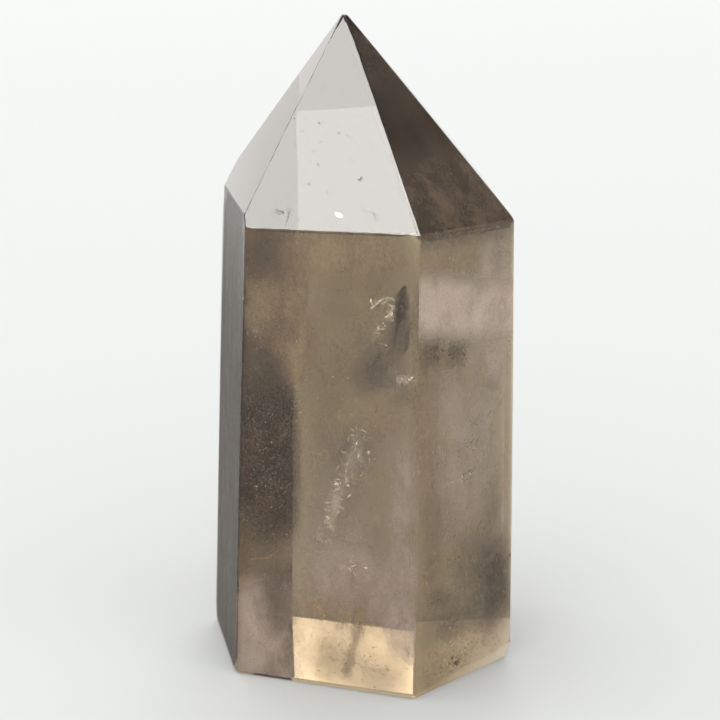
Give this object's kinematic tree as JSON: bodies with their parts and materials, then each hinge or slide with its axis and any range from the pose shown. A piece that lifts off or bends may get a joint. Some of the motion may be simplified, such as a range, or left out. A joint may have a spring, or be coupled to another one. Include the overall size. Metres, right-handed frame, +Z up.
{
  "type": "polished smoky quartz crystal point",
  "caption": "Free-standing polished smoky quartz point with a flat cut base, six ground sides and a faceted tip.",
  "frame": {"origin": "middle of the stone's outline, on the flat base it stands on", "axes": "+Z up towards the tip, -Y towards the widest front facet, +X to the right of that facet"},
  "size_m": [0.0388, 0.0292, 0.0794],
  "materials": {
    "smoky_quartz": "polished"
  },
  "bodies": {
    "root": {"smoky_quartz_point": "smoky_quartz"}
  },
  "joints": []
}
